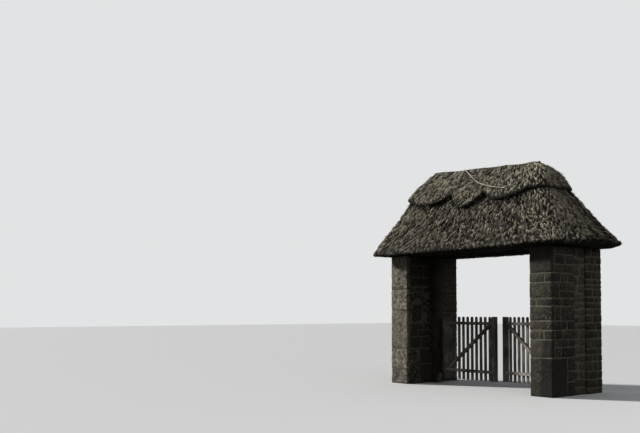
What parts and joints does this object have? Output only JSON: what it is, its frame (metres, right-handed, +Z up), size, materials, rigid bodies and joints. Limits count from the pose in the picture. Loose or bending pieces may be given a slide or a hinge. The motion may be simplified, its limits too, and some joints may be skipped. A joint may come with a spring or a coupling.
{
  "type": "lychgate",
  "caption": "Lychgate: stone piers carry a hipped thatched roof with a scalloped ridge cap, over picket gates hung from oak posts.",
  "frame": {"origin": "ground level in the middle of the footprint, halfway between the side walls", "axes": "+X along the road to the right-hand wall, +Y from the road into the yard, +Z up"},
  "size_m": [4.1314, 1.9202, 4],
  "materials": {
    "stone": "dressed sandstone blocks with pale mortar, weathered and lichened",
    "rubble": "coursed rubble sandstone with pale mortar",
    "oak": "old sawn oak, dark and dry",
    "gate_oak": "bare oak weathered to silver grey",
    "straw": "long straw thatch weathered to brown grey",
    "iron": "black forged iron with light rust"
  },
  "bodies": {
    "frame": {"front_left_pier": "stone", "rear_left_pier": "stone", "left_wall": "rubble", "front_right_pier": "stone", "rear_right_pier": "stone", "right_wall": "rubble", "left_post": "oak", "right_post": "oak", "left_heel_stone": "stone", "right_heel_stone": "stone", "front_plate": "oak", "rear_plate": "oak", "left_plate": "oak", "right_plate": "oak", "tie_beam": "oak", "king_post": "oak", "ridge_board": "oak", "hip_rafters": "oak", "front_rafters": "oak", "rear_rafters": "oak", "left_rafters": "oak", "right_rafters": "oak", "slope_battens": "oak", "end_battens": "oak", "front_thatch": "straw", "rear_thatch": "straw", "left_thatch": "straw", "right_thatch": "straw", "ridge_cap": "straw", "left_hooks": "iron", "right_hooks": "iron"},
    "left_gate": {"left_gate_hanging_stile": "gate_oak", "left_gate_meeting_stile": "gate_oak", "left_gate_top_rail": "gate_oak", "left_gate_low_rail": "gate_oak", "left_gate_brace": "gate_oak", "left_gate_pickets": "gate_oak", "left_gate_eyes": "iron"},
    "right_gate": {"right_gate_hanging_stile": "gate_oak", "right_gate_meeting_stile": "gate_oak", "right_gate_top_rail": "gate_oak", "right_gate_low_rail": "gate_oak", "right_gate_brace": "gate_oak", "right_gate_pickets": "gate_oak", "right_gate_eyes": "iron"}
  },
  "joints": [
    {"name": "left_gate_hinge", "type": "hinge", "parent": "frame", "child": "left_gate", "pos_m": [-1.277, 0.195, 0.65], "axis": [0, 0, 1], "range_deg": [0, 90]},
    {"name": "right_gate_hinge", "type": "hinge", "parent": "frame", "child": "right_gate", "pos_m": [1.277, 0.195, 0.65], "axis": [0, 0, -1], "range_deg": [-8, 82]}
  ]
}
